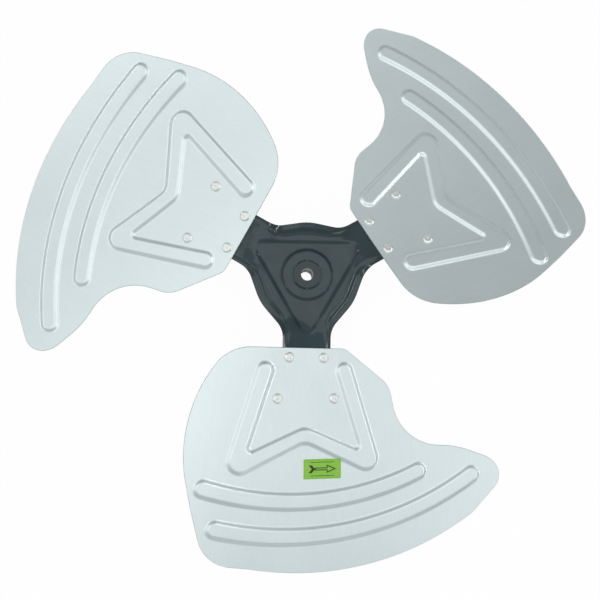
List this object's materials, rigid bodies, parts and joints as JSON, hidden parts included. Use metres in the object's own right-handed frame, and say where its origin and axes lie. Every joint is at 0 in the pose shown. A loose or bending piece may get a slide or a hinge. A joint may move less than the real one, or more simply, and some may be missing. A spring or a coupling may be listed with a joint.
{
  "type": "condenser fan blade",
  "caption": "Axial condenser fan with swept, pressed aluminium blades riveted to a black pressed-steel spider that carries a bored hub for the motor shaft.",
  "frame": {"origin": "on the shaft axis, level with the raised face of the spider round the hub", "axes": "+Z along the shaft towards the hollow side of the blades, -Y out along blade_1, +X towards the leading edge of blade_1"},
  "size_m": [0.5953, 0.588, 0.0785],
  "materials": {
    "blade_sheet": "satin mill finish",
    "spider_enamel": "gloss black enamel",
    "hub_enamel": "black enamel on turned steel",
    "screw_steel": "dark oxide on steel",
    "rivet_metal": "bright, headed cold",
    "label_film": "printed film, satin"
  },
  "bodies": {
    "root": {"blade_1": "blade_sheet", "blade_2": "blade_sheet", "blade_3": "blade_sheet", "spider": "spider_enamel", "hub": "hub_enamel", "set_screw_1": "screw_steel", "set_screw_2": "screw_steel", "rivet_1a": "rivet_metal", "rivet_1b": "rivet_metal", "rivet_1c": "rivet_metal", "rivet_1d": "rivet_metal", "rivet_2a": "rivet_metal", "rivet_2b": "rivet_metal", "rivet_2c": "rivet_metal", "rivet_2d": "rivet_metal", "rivet_3a": "rivet_metal", "rivet_3b": "rivet_metal", "rivet_3c": "rivet_metal", "rivet_3d": "rivet_metal", "rotation_label": "label_film"}
  },
  "joints": []
}
